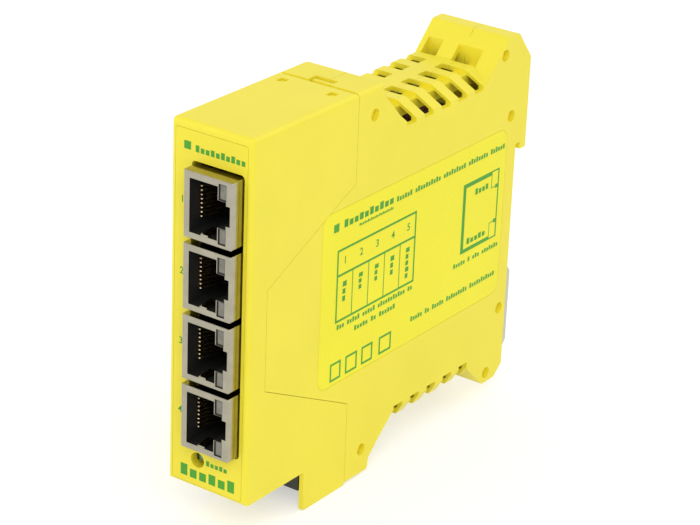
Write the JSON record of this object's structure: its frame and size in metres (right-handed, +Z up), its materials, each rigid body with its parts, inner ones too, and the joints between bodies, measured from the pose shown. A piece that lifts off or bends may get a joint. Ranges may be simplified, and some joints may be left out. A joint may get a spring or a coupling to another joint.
{
  "type": "DIN rail ethernet switch",
  "caption": "Narrow DIN-rail network switch: snap-together vented housing, row of shielded modular sockets in front, plug-in supply header below, sprung rail catch.",
  "frame": {"origin": "centre of the rail seat: middle of the housing's width and height, on the plane that lies on the DIN rail's front", "axes": "+Y out of the back, towards the rail; -Y out of the socket side; +Z up, the way the claw hooks over the rail's upper edge; +X to the right seen from the sockets"},
  "size_m": [0.0226, 0.1145, 0.099],
  "materials": {
    "housing": "fine satin moulded polyamide",
    "front_film": "satin printed film",
    "label_film": "satin printed film, brighter than the housing",
    "circuit_board": "solder mask",
    "chip_mould": "matt moulding compound",
    "can_metal": "plated can",
    "ferrite": "ferrite and enamelled copper",
    "capacitor_sleeve": "aluminium can",
    "lamp_epoxy": "tinted clear epoxy",
    "header_mould": "black moulding",
    "tinned_metal": "bright tin",
    "catch_mould": "light grey acetal",
    "spring_steel": "spring steel",
    "socket_shield": "satin nickel plate",
    "socket_mould": "black moulding",
    "contact_gold": "gold flash",
    "light_pipe": "clear light pipe"
  },
  "bodies": {
    "switch": {"hood": "housing", "base_shell_left": "housing", "base_shell_right": "housing", "front_overlay": "front_film", "side_label": "label_film", "main_board": "circuit_board", "switch_chip": "chip_mould", "regulator_chip": "chip_mould", "crystal": "can_metal", "power_inductor": "ferrite", "electrolytic_capacitors": "capacitor_sleeve", "power_led": "lamp_epoxy", "terminal_header": "header_mould", "header_pins": "tinned_metal", "catch_spring": "spring_steel", "jack_shield_1": "socket_shield", "jack_insert_1": "socket_mould", "jack_contacts_1": "contact_gold", "jack_lenses_1": "light_pipe", "jack_shield_2": "socket_shield", "jack_insert_2": "socket_mould", "jack_contacts_2": "contact_gold", "jack_lenses_2": "light_pipe", "jack_shield_3": "socket_shield", "jack_insert_3": "socket_mould", "jack_contacts_3": "contact_gold", "jack_lenses_3": "light_pipe", "jack_shield_4": "socket_shield", "jack_insert_4": "socket_mould", "jack_contacts_4": "contact_gold", "jack_lenses_4": "light_pipe"},
    "catch": {"rail_catch": "catch_mould"}
  },
  "joints": [
    {"name": "catch_slide", "type": "slide", "parent": "switch", "child": "catch", "axis": [0, 0, -1], "range_m": [0, 0.0035], "stiffness_N_per_m": 1200, "springref_m": -0.0015, "deforming": ["catch_spring"]}
  ]
}
